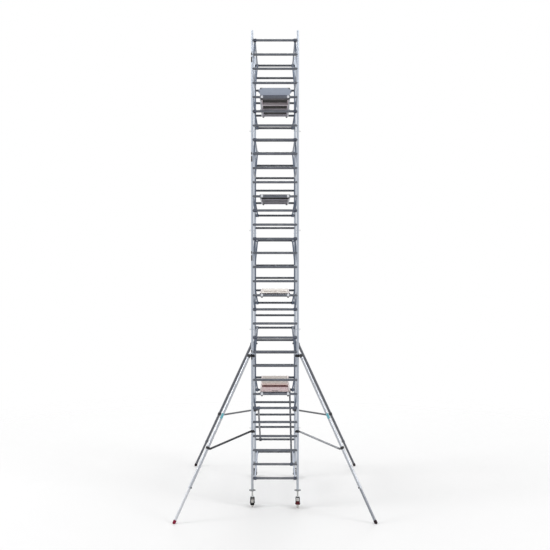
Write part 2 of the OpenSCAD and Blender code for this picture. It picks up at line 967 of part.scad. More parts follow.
// Two ears that hold an eye, on a ring whose surface starts at the distance -reach.
module clevis(reach) {
    for (s = [-1, 1])
        translate([0, s * (eye_t / 2 + seat_gap + clevis_t / 2), 0])
            rotate([90, 0, 0])
            difference() {
                union() {
                    cylinder(d = eye_d, h = clevis_t, center = true);
                    translate([-reach / 2, 0, 0])
                        cube([reach, eye_d, clevis_t], center = true);
                }
                cylinder(d = pivot_d + 2 * weld_gap, h = 2 * clevis_t, center = true);
            }
}

module pivot_bolt() {
    grip = eye_t + 2 * (seat_gap + clevis_t + weld_gap);
    rotate([90, 0, 0]) {
        cylinder(d = pivot_d, h = grip + 2 * pivot_head_h, center = true);
        for (s = [0, 1])
            mirror([0, 0, s])
                translate([0, 0, grip / 2])
                cylinder(d = pivot_head_d, h = pivot_head_h, $fn = 6);
    }
}

// Arm tube with a flat tongue and an eye in each end, along local X.
module arm_tube() {
    difference() {
        union() {
            difference() {
                translate([eye_d, 0, 0])
                    rotate([0, 90, 0])
                    cylinder(d = arm_d, h = arm_len - 2 * eye_d);
                rotate([0, 90, 0])
                    cylinder(d = arm_d - 2 * arm_wall, h = arm_len);
            }
            for (x = [0, arm_len])
                translate([x, 0, 0])
                    rotate([90, 0, 0])
                    cylinder(d = eye_d, h = eye_t, center = true);
            for (x = [0, arm_len - eye_d - tongue])
                translate([x, -eye_t / 2, -(arm_d - arm_wall) / 2])
                    cube([eye_d + tongue, eye_t, arm_d - arm_wall]);
        }
        for (x = [0, arm_len])
            translate([x, 0, 0])
                rotate([90, 0, 0])
                cylinder(d = pivot_d + 2 * weld_gap, h = 2 * eye_t, center = true);
    }
}

// Arm with the lower coupler on the upright and the clamp on the stabiliser tube.
module stabiliser_arm() {
    color("silver")
        translate([arm_x0, 0, arm_top])
        rotate([0, atan2(arm_top - arm_z1, arm_x1 - arm_x0), 0])
        arm_tube();
    color("black") {
        translate([0, 0, arm_top]) {
            difference() {
                union() {
                    post_ring();
                    translate([arm_x0, 0, 0])
                        clevis(arm_x0 - post_r);
                }
                post_ring_cut();
            }
            clamp_bolt();
            translate([arm_x0, 0, 0])
                pivot_bolt();
        }
        along(arm_at) {
            difference() {
                union() {
                    cylinder(r = stab_d / 2 + coupler_t, h = coupler_h, center = true);
                    translate([arm_side, 0, 0])
                        clevis(arm_side - stab_d / 2);
                }
                cylinder(r = stab_d / 2 + weld_gap, h = 2 * coupler_h, center = true);
            }
            translate([arm_side, 0, 0])
                pivot_bolt();
        }
    }
}

// Inner tube that slides in the outer tube, with its row of locking holes.
module stabiliser_leg() {
    leg_top = stab_outer_len - stab_overlap;
    leg_end = stab_len - foot_top + foot_cup;
    color("silver")
        along(0)
        difference() {
            translate([0, 0, leg_top])
                cylinder(d = stab_leg_d, h = leg_end - leg_top);
            translate([0, 0, leg_top - cut])
                cylinder(d = stab_leg_d - 2 * stab_leg_wall, h = leg_end - leg_top + 2 * cut);
            for (i = [0:hole_count - 1])
                translate([0, 0, stab_outer_len + collar_h + i * hole_step])
                    rotate([90, 0, 0])
                    cylinder(d = hole_d, h = 2 * stab_d, center = true);
        }
}

// Rubber foot on the end of the inner tube: a sleeve with a ball end, flat where it stands.
module stabiliser_foot() {
    color("maroon")
        difference() {
            union() {
                along(stab_len - foot_top)
                    cylinder(r = foot_r, h = foot_top);
                along(stab_len)
                    sphere(r = foot_r + foot_bead);
            }
            along(stab_len - foot_top - cut)
                cylinder(d = stab_leg_d + 2 * weld_gap, h = foot_cup + weld_gap + cut);
            translate([stab_reach, 0, -4 * foot_r])
                cube([8 * foot_r, 8 * foot_r, 8 * foot_r], center = true);
        }
}

for (i = [0, 1])
    base_frame(2 * i - 1);
for (i = [0, 1], k = [1:levels])
    frame(2 * i - 1, k);
locking_clips();
for (k = [1:levels]) {
    platform_frame(k);
    hatch(k);
}
deck_boards();
toe_boards();
guard_frames(-1);  // guard_frames_left
guard_frames(1);  // guard_frames_right
braces();
for (c = [0:len(CORNERS) - 1]) {
    at_corner(c, CASTOR_TURNS[c])
            leg();
    at_corner(c, CASTOR_TURNS[c])
            leg_nut();
    at_corner(c, CASTOR_TURNS[c])
            castor_fork();
    at_corner(c, CASTOR_TURNS[c])
            castor_wheel();
    at_corner(c, CASTOR_TURNS[c])
            brake_pedal();
    at_stabiliser(c)
            stabiliser_tube();
    at_stabiliser(c)
            stabiliser_arm();
    at_stabiliser(c)
            stabiliser_leg();
    at_stabiliser(c)
            stabiliser_foot();
}
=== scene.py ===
import math

import bmesh
import bpy
import numpy as np
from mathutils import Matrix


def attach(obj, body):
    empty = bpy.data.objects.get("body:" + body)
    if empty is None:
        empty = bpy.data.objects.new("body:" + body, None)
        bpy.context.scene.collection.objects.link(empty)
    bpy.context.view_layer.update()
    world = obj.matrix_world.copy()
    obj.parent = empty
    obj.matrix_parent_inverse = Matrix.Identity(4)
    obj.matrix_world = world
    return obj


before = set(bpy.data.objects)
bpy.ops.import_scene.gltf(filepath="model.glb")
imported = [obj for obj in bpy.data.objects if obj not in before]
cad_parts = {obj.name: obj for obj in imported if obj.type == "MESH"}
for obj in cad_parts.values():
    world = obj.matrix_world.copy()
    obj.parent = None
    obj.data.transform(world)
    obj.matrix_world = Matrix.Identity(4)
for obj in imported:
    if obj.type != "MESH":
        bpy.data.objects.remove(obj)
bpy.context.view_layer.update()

# Ladder frames: two stacks of drawn aluminium tube, two uprights to a frame with the rungs saddled
# onto them and welded all round. The uprights are satin; the rungs are ribbed lengthwise against
# slipping, and are painted darker than the uprights as shade, the rear rungs darker still. A plain
# dark strip and a tab wrap one upright of each frame.
HALF_W, HALF_L = 0.45, 1.25
POST_R, RUNG_R = 0.025, 0.024
FIRST_RUNG, RUNG_PITCH, RUNG_COUNT = 0.58, 0.28, 32
LEVELS = (1, 2, 3, 4)
FRAME_STEP = 1.96
WELD_GAP = 0.0001
RIBS = 30
CREASE, MERGE = math.radians(40), 2e-6
SOCKETS = {
    "base": "Base Color", "metallic": "Metallic",
    "roughness": "Roughness", "specular": "Specular IOR Level",
}


def shade(red, green, blue):
    """A screen colour of 0 to 255 as linear light, with full opacity."""
    c = np.array([red, green, blue]) / 255
    linear = np.where(c <= 0.04045, c / 12.92, ((c + 0.055) / 1.055) ** 2.4)
    return (*linear.tolist(), 1.0)


class Finish:
    """A finish read from Object coordinates: masks, grain and relief feed one Principled shader."""

    def __init__(self, name, **constants):
        self.material = bpy.data.materials.new(name)
        self.material.use_nodes = True
        self.tree = self.material.node_tree
        self.shader = self.tree.nodes["Principled BSDF"]
        self.paint(**constants)
        spot = self.tree.nodes.new("ShaderNodeTexCoord")
        self.place = spot.outputs["Object"]
        self.x, self.y, self.z = self.node("ShaderNodeSeparateXYZ", {"Vector": self.place}).outputs
        self.facing = self.node("ShaderNodeSeparateXYZ", {"Vector": spot.outputs["Normal"]}).outputs

    def feed(self, socket, value):
        """Links an output to a socket, or sets the socket to a constant."""
        if isinstance(value, bpy.types.NodeSocket):
            self.tree.links.new(value, socket)
        else:
            socket.default_value = value

    def node(self, kind, inputs):
        """A new node with its inputs fed by name."""
        made = self.tree.nodes.new(kind)
        for name, value in inputs.items():
            self.feed(made.inputs[name], value)
        return made

    def paint(self, **values):
        """Feeds the shader's own sockets."""
        for key, value in values.items():
            self.feed(self.shader.inputs[SOCKETS[key]], value)

    def sum(self, operation, *values):
        """One step of arithmetic on numbers or outputs."""
        made = self.tree.nodes.new("ShaderNodeMath")
        made.operation = operation
        for socket, value in zip(made.inputs, values):
            self.feed(socket, value)
        return made.outputs[0]

    def over(self, value, limit):
        """1 where value is above limit, else 0."""
        return self.sum("GREATER_THAN", value, limit)

    def both(self, one, other):
        """Product of two masks."""
        return self.sum("MULTIPLY", one, other)

    def ramp(self, value, low, high, first=0.0, last=1.0):
        """A straight ramp from first at low to last at high, held at both ends."""
        names = {"Value": value, "From Min": low, "From Max": high, "To Min": first, "To Max": last}
        return self.node("ShaderNodeMapRange", names).outputs[0]

    def mix(self, share, one, other):
        """Colour that goes from one to other as share goes from 0 to 1."""
        made = self.tree.nodes.new("ShaderNodeMix")
        made.data_type = "RGBA"
        for socket, value in zip((made.inputs[0], made.inputs[6], made.inputs[7]), (share, one, other)):
            self.feed(socket, value)
        return made.outputs[2]

    def pick(self, share, one, other):
        """Number that goes from one to other as share goes from 0 to 1."""
        return self.ramp(share, 0.0, 1.0, one, other)

    def grain(self, waves, detail):
        """Noise with so many waves a metre along X, Y and Z."""
        scaled = self.node("ShaderNodeMapping", {"Vector": self.place, "Scale": waves})
        inputs = {"Vector": scaled.outputs[0], "Scale": 1.0, "Detail": detail, "Roughness": 0.6}
        return self.node("ShaderNodeTexNoise", inputs).outputs[0]

    def relief(self, height, depth):
        """Turns a height of 0 to 1 into relief of so many metres."""
        bump = self.node("ShaderNodeBump", {"Height": height, "Distance": depth, "Strength": 1.0})
        self.feed(self.shader.inputs["Normal"], bump.outputs[0])

    def off_axis(self, u, v):
        """Distance from an axis, given the two offsets across it."""
        squares = self.sum("ADD", self.sum("MULTIPLY", u, u), self.sum("MULTIPLY", v, v))
        return self.sum("SQRT", squares)

    def from_level(self, first, step):
        """Height above or below the nearest of the levels first, first + step, first + 2 step and so on."""
        return self.sum("WRAP", self.sum("SUBTRACT", self.z, first), step / 2, -step / 2)

    def from_post(self):
        """Distance from the nearest upright's axis."""
        u = self.sum("SUBTRACT", self.sum("ABSOLUTE", self.x), HALF_W)
        v = self.sum("SUBTRACT", self.sum("ABSOLUTE", self.y), HALF_L)
        return self.off_axis(u, v)


def dress(finish, *nodes):
    """Puts a finish on carried-over nodes."""
    for name in nodes:
        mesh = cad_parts[name].data
        mesh.materials.clear()
        mesh.materials.append(finish.material)


def surface(name, *grids):
    """One mesh from grids of points [copy, row, column, xyz]; equal points are merged, so that
    seams and poles close, and all faces are turned outwards."""
    points, faces, start = [], [], 0
    for grid in grids:
        index = start + np.arange(grid[..., 0].size).reshape(grid.shape[:3])
        corners = (index[:, :-1, :-1], index[:, 1:, :-1], index[:, 1:, 1:], index[:, :-1, 1:])
        faces.append(np.stack(corners, axis=-1).reshape(-1, 4))
        points.append(grid.reshape(-1, 3))
        start += index.size
    mesh = bpy.data.meshes.new(name)
    mesh.from_pydata(np.concatenate(points).tolist(), [], np.concatenate(faces).tolist())
    form = bmesh.new()
    form.from_mesh(mesh)
    bmesh.ops.remove_doubles(form, verts=form.verts, dist=MERGE)
    bmesh.ops.recalc_face_normals(form, faces=form.faces)
    form.to_mesh(mesh)
    form.free()
    mesh.shade_smooth()
    mesh.set_sharp_from_angle(angle=CREASE)
    piece = bpy.data.objects.new(name, mesh)
    bpy.context.scene.collection.objects.link(piece)
    return piece


def fit(piece, body, finish):
    """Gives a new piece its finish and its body."""
    piece.data.materials.append(finish.material)
    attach(piece, body)


def spread(local, places, turns):
    """Copies of a grid [row, column, xyz], each turned by a 3 x 3 matrix of axes and moved to its place."""
    turned = np.einsum("ruc,ncd->nrud", local, np.asarray(turns, float))
    return turned + np.asarray(places, float)[:, None, None, :]


def saddle_weld(tube_r, post_r, bead):
    """Bead round a tube that meets a post: the curve x = sqrt(R^2 - y^2) with y = r sin(a), z = r cos(a),
    thickened to a rippled ring. Local X runs along the tube, away from the post's axis."""
    a = np.linspace(0, 2 * math.pi, 33)[:, None]
    b = np.linspace(0, 2 * math.pi, 7)[None, :]
    y, z = tube_r * np.sin(a), tube_r * np.cos(a)
    x = np.sqrt(np.maximum(post_r**2 - y**2, 0))
    thick = bead * (1 + 0.14 * np.sin(16 * a))
    side, out = thick * np.cos(b), thick * np.sin(b)
    return np.stack([x + side, y + out * np.sin(a), z + out * np.cos(a)], axis=-1)


tube = Finish("satin_drawn_tube", metallic=1.0)
on_rung = tube.over(tube.from_post(), POST_R + WELD_GAP / 2)
up = tube.from_level(FIRST_RUNG, RUNG_PITCH)
back = tube.sum("SUBTRACT", tube.sum("ABSOLUTE", tube.y), HALF_L)
rib = tube.sum("SINE", tube.sum("MULTIPLY", tube.sum("ARCTAN2", up, back), float(RIBS)))
rib = tube.ramp(rib, -1.0, 1.0)
drawn_up = tube.grain((900, 900, 5), 3.0)
marks = tube.grain((9, 9, 4), 6.0)
trodden = tube.ramp(tube.sum("ABSOLUTE", tube.x), 0.12, 0.34, 1.0, 0.0)
post_colour = tube.mix(drawn_up, shade(172, 179, 190), shade(196, 203, 213))
# Rungs are painted darker than the uprights as shade, and the rear rungs darker still, as painted shade.
rung_colour = tube.mix(rib, shade(92, 96, 104), shade(126, 130, 138))
shaded_rear_rung = tube.mix(rib, shade(72, 76, 83), shade(102, 106, 113))
rung_colour = tube.mix(tube.over(tube.y, 0.0), rung_colour, shaded_rear_rung)
polished = tube.both(trodden, tube.ramp(marks, 0.45, 0.7, 0.0, 0.5))
rung_colour = tube.mix(polished, rung_colour, shade(146, 150, 157))
metal = tube.mix(on_rung, post_colour, rung_colour)
dusty = tube.both(tube.ramp(tube.z, 0.36, 1.3, 0.45, 0.0), tube.ramp(marks, 0.4, 0.7))
metal = tube.mix(dusty, metal, shade(150, 146, 140))
post_rough, rung_rough = [tube.ramp(marks, 0.3, 0.7, *ends) for ends in ((0.26, 0.42), (0.36, 0.5))]
tube.paint(
    base=tube.mix(tube.ramp(marks, 0.55, 0.85, 0.0, 0.35), metal, shade(120, 122, 128)),
    roughness=tube.pick(on_rung, post_rough, rung_rough),
)
tube.relief(tube.pick(on_rung, tube.ramp(drawn_up, 0.3, 0.7, 0.0, 0.12), rib), 0.0006)
frames = [f"base_frame_{end}" for end in ("front", "rear")]
frames += [f"frame_{end}_{k}" for end in ("front", "rear") for k in LEVELS]
dress(tube, *frames)

weld = Finish("ripple_weld", metallic=1.0)
scale_marks = weld.grain((260, 260, 260), 3.0)
weld.paint(
    base=weld.mix(scale_marks, shade(150, 153, 160), shade(196, 199, 204)),
    roughness=weld.ramp(scale_marks, 0.3, 0.7, 0.25, 0.45),
)
weld.relief(scale_marks, 0.0005)
rung_z = FIRST_RUNG + RUNG_PITCH * np.arange(RUNG_COUNT)
sx, sy, z = (g.ravel() for g in np.meshgrid((-1, 1), (-1, 1), rung_z, indexing="ij"))
inwards = np.array([np.diag((-s, 1, 1)) for s in sx])
joints = np.stack([sx * HALF_W, sy * HALF_L, z], 1)
beads = spread(saddle_weld(RUNG_R + 0.0006, POST_R, 0.0026), joints, inwards)
fit(surface("rung_welds", beads), "tower", weld)


def wrapped_strip(radius, middle, half, tall, lift):
    """Strip round a post: angle and height on a grid, raised by lift inside its rim, and its back sheet."""
    t = np.linspace(-1, 1, 17)
    w = np.concatenate([[-1, -0.97], np.linspace(-0.9, 0.9, 5), [0.97, 1]])
    rim = np.minimum(1, 12 * np.minimum(1 - abs(t)[None, :], 1 - abs(w)[:, None]))
    angle = middle + half * t[None, :] + 0 * w[:, None]
    height = tall / 2 * w[:, None] + 0 * t[None, :]
    radii = (radius + lift * rim, radius + 0 * rim)
    return np.stack([np.stack([r * np.cos(angle), r * np.sin(angle), height], -1) for r in radii])


strip = Finish("plain_dark_strip", metallic=0.0)
scuffs = strip.grain((60, 60, 25), 5.0)
strip.paint(
    base=strip.mix(strip.ramp(scuffs, 0.5, 0.8), shade(16, 16, 18), shade(52, 52, 55)),
    roughness=strip.ramp(scuffs, 0.3, 0.7, 0.3, 0.55),
)
strip.relief(scuffs, 0.0002)
STRIP_Z, STRIP_TALL, TAB_Z, TAB_TALL = 3.0, 0.11, 3.11, 0.05
strips = []
for corner, middle in ((-1, math.radians(215)), (1, math.radians(35))):
    for k in LEVELS:
        for z, tall, half in ((STRIP_Z, STRIP_TALL, 1.1), (TAB_Z, TAB_TALL, 0.8)):
            patch = wrapped_strip(POST_R + 0.00005, middle, half, tall, 0.0004)
            strips.append(patch + (corner * HALF_W, corner * HALF_L, z + FRAME_STEP * (k - 1)))
fit(surface("upright_strips", *strips), "tower", strip)

# Locking clips: zinc-plated pins with a pull ring, one through each joint of the uprights.
# The plating is slightly cloudy, and brighter where fingers pull the ring.
zinc = Finish("cloudy_zinc", metallic=1.0)
spangle = zinc.grain((45, 45, 45), 5.0)
zinc.paint(
    base=zinc.mix(spangle, shade(118, 122, 126), shade(156, 159, 161)),
    roughness=zinc.ramp(spangle, 0.3, 0.7, 0.22, 0.42),
)
zinc.relief(zinc.grain((500, 500, 500), 2.0), 0.0002)
dress(zinc, "locking_clips")

# Platform frames: extruded aluminium sides, ends and cross beams, riveted together, with cast
# hooks over the rungs and a steel hinge, red-brown on the lowest one. Each hook has a swinging
# wind lock under its rung. The beams across are painted near white as light, and on the lower three
# platforms they are painted dark as shade above their lower lip. The end faces are painted dark as
# shade, darkest in a painted shadow of a recess at the top.
PLATFORM_Z = 2.26
RAIL_HALF, RAIL_X, RAIL_W = 1.2166, 0.27, 0.03
DECK_RISE = 0.04
HINGE_Y, HINGE_X = -0.3866, 0.15
HOOK_X, LOCK_W = 0.26, 0.034
CLAW_IN = RUNG_R + 0.0003
LIP_TOP, SHADE_FROM = 0.012, -0.012
ABOVE_LOWEST = PLATFORM_Z + 1
RED_BROWN = shade(78, 8, 7)
platform_heights = PLATFORM_Z + FRAME_STEP * (np.array(LEVELS) - 1)

profile = Finish("extruded_profile", metallic=1.0)
along = profile.over(profile.sum("ABSOLUTE", profile.x), RAIL_X - 0.0005)
drawn = profile.pick(along, profile.grain((5, 700, 700), 3.0), profile.grain((700, 5, 700), 3.0))
hook = profile.over(profile.sum("ABSOLUTE", profile.y), RAIL_HALF + WELD_GAP / 2)
level = profile.from_level(PLATFORM_Z, FRAME_STEP)
hinge = profile.both(profile.over(level, DECK_RISE + WELD_GAP / 2), profile.sum("SUBTRACT", 1.0, hook))
knocks = profile.grain((14, 6, 14), 6.0)
cast = profile.grain((420, 420, 420), 3.0)
bare = profile.mix(drawn, shade(148, 148, 156), shade(178, 178, 186))
bare = profile.mix(profile.ramp(knocks, 0.52, 0.78, 0.0, 0.4), bare, shade(112, 110, 114))
# Faces turned up are mixed towards a warm beige in patches.
warm_tops = profile.both(profile.over(profile.facing[2], 0.5), profile.ramp(knocks, 0.3, 0.6, 0.5, 0.9))
bare = profile.mix(warm_tops, bare, shade(184, 170, 166))
# End faces turned along Y are painted dark as shade: a lower lip, and above it a darker painted shadow of a
# recess.
shaded_end_face = profile.over(profile.sum("ABSOLUTE", profile.facing[1]), 0.5)
shaded_end_face = profile.both(shaded_end_face, profile.over(profile.sum("ABSOLUTE", profile.y), RAIL_HALF - WELD_GAP))
painted_recess_shade = profile.mix(knocks, shade(58, 52, 66), shade(84, 78, 92))
lip = profile.mix(knocks, shade(92, 88, 98), shade(122, 118, 128))
bare = profile.mix(shaded_end_face, bare, profile.mix(profile.over(level, LIP_TOP), lip, painted_recess_shade))
across = profile.over(RAIL_HALF - RAIL_W + WELD_GAP, profile.sum("ABSOLUTE", profile.y))
across = profile.both(across, profile.sum("SUBTRACT", 1.0, along))
# Cross beams are painted near white as light, pinker towards the front on the top platform; on the lower
# platforms they are painted dark as shade from just under the platform's level up.
on_top = profile.over(profile.z, PLATFORM_Z + 2.5 * FRAME_STEP)
shade_and_dirt = profile.over(level, profile.pick(on_top, SHADE_FROM, DECK_RISE))
pinker = profile.pick(on_top, 0.0, profile.ramp(profile.y, 1.2, -0.4))
beam_light_and_shade = profile.mix(pinker, shade(246, 243, 252), shade(250, 240, 245))
beam_light_and_shade = profile.mix(shade_and_dirt, beam_light_and_shade, profile.mix(knocks, shade(22, 19, 24), shade(38, 34, 40)))
bare = profile.mix(across, bare, beam_light_and_shade)
claw = profile.mix(cast, shade(214, 216, 222), shade(238, 240, 244))
bare = profile.mix(hook, bare, claw)
pivot = profile.mix(knocks, shade(214, 200, 194), shade(236, 224, 218))
pivot = profile.mix(profile.over(ABOVE_LOWEST, profile.z), pivot, RED_BROWN)
profile.paint(
    base=profile.mix(hinge, bare, pivot),
    roughness=profile.pick(hook, profile.ramp(knocks, 0.3, 0.7, 0.3, 0.48), 0.55),
)
profile.relief(profile.pick(hook, profile.ramp(drawn, 0.3, 0.7, 0.0, 0.2), cast), 0.0006)
dress(profile, *[f"platform_frame_{k}" for k in LEVELS])


def dome(radius, height):
    """Rivet head: a quarter ellipse turned round Z on a thin foot, closed underneath."""
    t = np.linspace(math.pi / 2, 0, 5)
    r = np.concatenate([radius * np.cos(t), [radius, 0]])
    h = np.concatenate([height * np.sin(t), [-0.0003, -0.0003]])
    a = np.linspace(0, 2 * math.pi, 13)
    return np.stack([np.outer(r, np.cos(a)), np.outer(r, np.sin(a)), np.outer(h, np.ones_like(a))], -1)


def upright_copies(local, places):
    """Copies of a grid that keep their axes."""
    return spread(local, places, [np.eye(3)] * len(places))


def over_levels(rows):
    """Points given above a platform's rung, repeated for each platform."""
    rows = np.asarray(rows, float)
    return np.concatenate([rows + (0, 0, h) for h in platform_heights])


RIVET_STEP, BOARD_RIVET, LEAF_RIVET = 0.013, 0.009, 0.028
LEAF_X, LEAF_STEP, LEAF_TOP = (-0.203, 0, 0.203), 0.012, DECK_RISE + 0.0031
head = dome(0.0048, 0.0022)
edge_y = np.linspace(HINGE_Y + 0.06, RAIL_HALF - RAIL_W - 0.05, 9)
board_rivets = [(s * (RAIL_X - BOARD_RIVET), y, DECK_RISE) for s in (-1, 1) for y in edge_y]
end_rivets = [
    (s * HOOK_X + d, e * (RAIL_HALF - RAIL_W / 2), DECK_RISE)
    for s in (-1, 1) for e in (-1, 1) for d in (-RIVET_STEP, RIVET_STEP)
]
leaf_rivets = [(x + d, HINGE_Y + LEAF_RIVET, LEAF_TOP) for x in LEAF_X for d in (-LEAF_STEP, LEAF_STEP)]
all_rivets = over_levels(board_rivets + end_rivets + leaf_rivets)
fit(surface("platform_rivets", upright_copies(head, all_rivets)), "tower", zinc)


EASE = 0.0008


def bar(start, end, width, x0, x1):
    """Flat bar with round ends between two points of the YZ plane, from x0 to x1 along X: the outline is
    a stadium, each ring of it is carried to the other face, and both faces close in the middle."""
    start, end = np.asarray(start, float), np.asarray(end, float)
    lean = math.atan2(*(end - start)[::-1])
    t = np.linspace(-math.pi / 2, math.pi / 2, 9)
    arcs = [(end, lean + t), (start, lean + math.pi + t)]
    outline = np.concatenate([c + np.stack([np.cos(a), np.sin(a)], 1) * width / 2 for c, a in arcs])
    outline = np.concatenate([outline, outline[:1]])
    middle = np.broadcast_to((start + end) / 2, outline.shape)
    shrink = middle + (outline - middle) * (1 - 2 * EASE / width)
    edge = EASE * np.sign(x1 - x0)
    rows = [(x0, middle), (x0, shrink), (x0 + edge, outline)]
    rows += [(x1 - edge, outline), (x1, shrink), (x1, middle)]
    return np.stack([np.concatenate([np.full((len(o), 1), x), o], 1) for x, o in rows])


def latch(width, drop, tongue):
    """Spring latch of a claw: two bars beside the rung and a tongue so far under it, as three closed grids.
    Local Y points from the rung to the tube, and Z up."""
    out, thick, low = width / 2 + 0.0003, 0.0035, -CLAW_IN - drop
    beside = CLAW_IN + 0.0045
    bars = [bar((beside, 0.008), (beside, low), 0.0076, s * out, s * (out + thick)) for s in (-1, 1)]
    return [*bars, bar((beside, low), (0.0, low), tongue, -out, out)]


def moulded(name, fresh, worn):
    """Pebbled plastic that goes from fresh to worn where hands rub it."""
    made = Finish(name, metallic=0.0)
    rubbed = made.grain((40, 40, 40), 5.0)
    made.paint(
        base=made.mix(made.ramp(rubbed, 0.5, 0.8), fresh, worn),
        roughness=made.ramp(rubbed, 0.3, 0.7, 0.42, 0.62),
    )
    made.relief(made.grain((700, 700, 700), 2.0), 0.0002)
    return made


trigger = moulded("moulded_trigger", shade(34, 34, 37), shade(72, 72, 76))


def latches(name, width, places, drop=0.0052, tongue=0.0076):
    """Latches at places on rungs; each one's Y is turned to the middle of the tower."""
    turns = [np.diag((1, -math.copysign(1, p[1]), 1)) for p in places]
    grids = [spread(g, places, turns) for g in latch(width, drop, tongue)]
    fit(surface(name, *grids), "tower", trigger)


hook_places = over_levels([(s * HOOK_X, e * HALF_L, 0) for s in (-1, 1) for e in (-1, 1)])
latches("platform_wind_locks", LOCK_W, hook_places, 0.013, 0.022)

# Deck boards: film-faced plywood laid in the platform frames. The top has the imprint of a wire
# mesh against slipping, the cut edges show the plies, and the underside is a smooth dark film,
# painted near black as shade. On the lowest platform a red-brown band and a stain lie by the hinge;
# the top of the second one is painted paler as a painted sheen.
MESH_STEP, PLY_STEP = 0.006, 0.0024
HINGE_STRIP, HINGE_BACK, STAIN_END = 0.20, 0.11, 0.2


def film_faced(name, bright, dark):
    """Plywood finish: colours by the way a face looks, with mesh imprint, scuffs and plies."""
    board = Finish(name, metallic=0.0)
    waves = [board.sum("MULTIPLY", v, 2 * math.pi / MESH_STEP) for v in (board.x, board.y)]
    ridge = board.sum("MAXIMUM", *[board.sum("ABSOLUTE", board.sum("SINE", v)) for v in waves])
    imprint = board.ramp(ridge, 0.82, 1.0)
    scuffed = board.grain((7, 3.5, 7), 7.0)
    midway = board.ramp(board.sum("ABSOLUTE", board.x), 0.1, 0.27, 1.0, 0.25)
    walked = board.both(board.ramp(scuffed, 0.5, 0.72), midway)
    top = board.mix(imprint, bright, dark)
    top = board.mix(board.sum("MULTIPLY", walked, 0.25), top, shade(206, 190, 182))
    lowest = board.over(ABOVE_LOWEST, board.z)
    # The second platform's top is painted paler, as a painted sheen.
    sheen_on_second = board.both(board.over(board.z, ABOVE_LOWEST), board.over(ABOVE_LOWEST + FRAME_STEP, board.z))
    top = board.mix(sheen_on_second, top, board.mix(imprint, shade(230, 220, 207), shade(210, 199, 187)))
    fading = board.both(board.over(board.y, HINGE_Y), board.ramp(board.y, HINGE_Y, STAIN_END, 0.9, 0.0))
    top = board.mix(board.both(lowest, fading), top, shade(182, 118, 104))
    from_front, to_rear = HINGE_Y - HINGE_STRIP, HINGE_Y + HINGE_BACK
    by_hinge = board.both(board.over(board.y, from_front), board.over(to_rear, board.y))
    by_hinge = board.both(by_hinge, lowest)
    top = board.mix(by_hinge, top, shade(74, 4, 4))
    plies = board.ramp(board.sum("SINE", board.sum("MULTIPLY", board.z, 2 * math.pi / PLY_STEP)), -0.3, 0.3)
    cut_edge = board.mix(plies, shade(120, 88, 60), shade(186, 152, 112))
    # The underside is a dark film painted near black, as painted shade beneath the deck.
    under = board.mix(scuffed, shade(8, 5, 5), shade(20, 12, 11))
    facing_up, facing_down = board.over(board.facing[2], 0.5), board.over(-0.5, board.facing[2])
    colour = board.mix(facing_down, board.mix(facing_up, cut_edge, top), under)
    leaf = board.over(board.from_level(PLATFORM_Z, FRAME_STEP), DECK_RISE + WELD_GAP / 2)
    bright_leaf = board.mix(scuffed, shade(196, 184, 180), shade(222, 212, 208))
    colour = board.mix(leaf, colour, board.mix(by_hinge, bright_leaf, RED_BROWN))
    dull = board.sum("MAXIMUM", facing_down, by_hinge)
    board.paint(base=colour, roughness=board.pick(dull, board.ramp(scuffed, 0.3, 0.7, 0.24, 0.34), 0.8))
    board.relief(board.both(imprint, facing_up), 0.0001)
    return board


dress(film_faced("film_faced_board", shade(158, 142, 130), shade(134, 120, 108)), "deck_boards")

# Hatches: a lid of the same plywood in the front bay of each platform, on two riveted hinge
# leaves, with a moulded finger pull near its free end.
LID_FRONT, PULL_IN, LID_STEP = -1.1836, 0.075, 0.018
lid = film_faced("film_faced_lid", shade(190, 150, 153), shade(164, 124, 127))
pull_at = np.array((0, LID_FRONT + PULL_IN, DECK_RISE))


def oval_plate(half_x, half_y, heights):
    """Rounded plate: rings of a superellipse |x|^4 + |y|^4 = 1, each (size, height), from pole to pole."""
    a = np.linspace(0, 2 * math.pi, 41)
    cx = np.sign(np.cos(a)) * np.sqrt(abs(np.cos(a)))
    cy = np.sign(np.sin(a)) * np.sqrt(abs(np.sin(a)))
    rows = [np.stack([half_x * k * cx, half_y * k * cy, np.full_like(a, h)], 1) for k, h in heights]
    return np.stack(rows)


pull = oval_plate(0.062, 0.026, [
    (0, -0.0002), (1, -0.0002), (1, 0.0018), (0.96, 0.003), (0.78, 0.0032), (0.72, 0.0012), (0, 0.0006),
])
for k, height in zip(LEVELS, platform_heights):
    dress(lid, f"hatch_{k}")
    rivet_y, rivet_z = HINGE_Y - LEAF_RIVET, LEAF_TOP + height
    places = [(x + d, rivet_y, rivet_z) for x in (-HINGE_X, HINGE_X) for d in (-LID_STEP, LID_STEP)]
    fit(surface(f"hatch_rivets_{k}", upright_copies(head, places)), f"hatch_{k}", zinc)
    here = upright_copies(pull, [pull_at + (0, 0, height)])
    fit(surface(f"hatch_pull_{k}", here), f"hatch_{k}", trigger)

# Toe boards: planed boards round the top platform, painted grey-blue, with riveted corner plates
# and dark bolts in the ends. The paint shows brush lines along each board, and is rubbed along
# the upper edge.
TOE_Z, TOE_H, RUBBED = platform_heights[-1] + DECK_RISE, 0.15, 0.012
PLATE_X, PLATE_IN, PLATE_TOP = 0.268, 0.023, 0.0041
BOLTS = ((0.281, 0.133), (0.318, 0.075))
toe = Finish("grey_blue_board_paint", metallic=0.0)
brushed = toe.grain((160, 2.5, 160), 4.0)
worn = toe.grain((20, 20, 20), 6.0)
near_edge = toe.ramp(toe.z, TOE_Z + TOE_H - RUBBED, TOE_Z + TOE_H)
rubbed_edge = toe.both(near_edge, toe.ramp(worn, 0.45, 0.6))
paint = toe.mix(brushed, shade(145, 154, 170), shade(169, 177, 192))
paint = toe.mix(toe.ramp(worn, 0.56, 0.82, 0.0, 0.5), paint, shade(120, 128, 142))
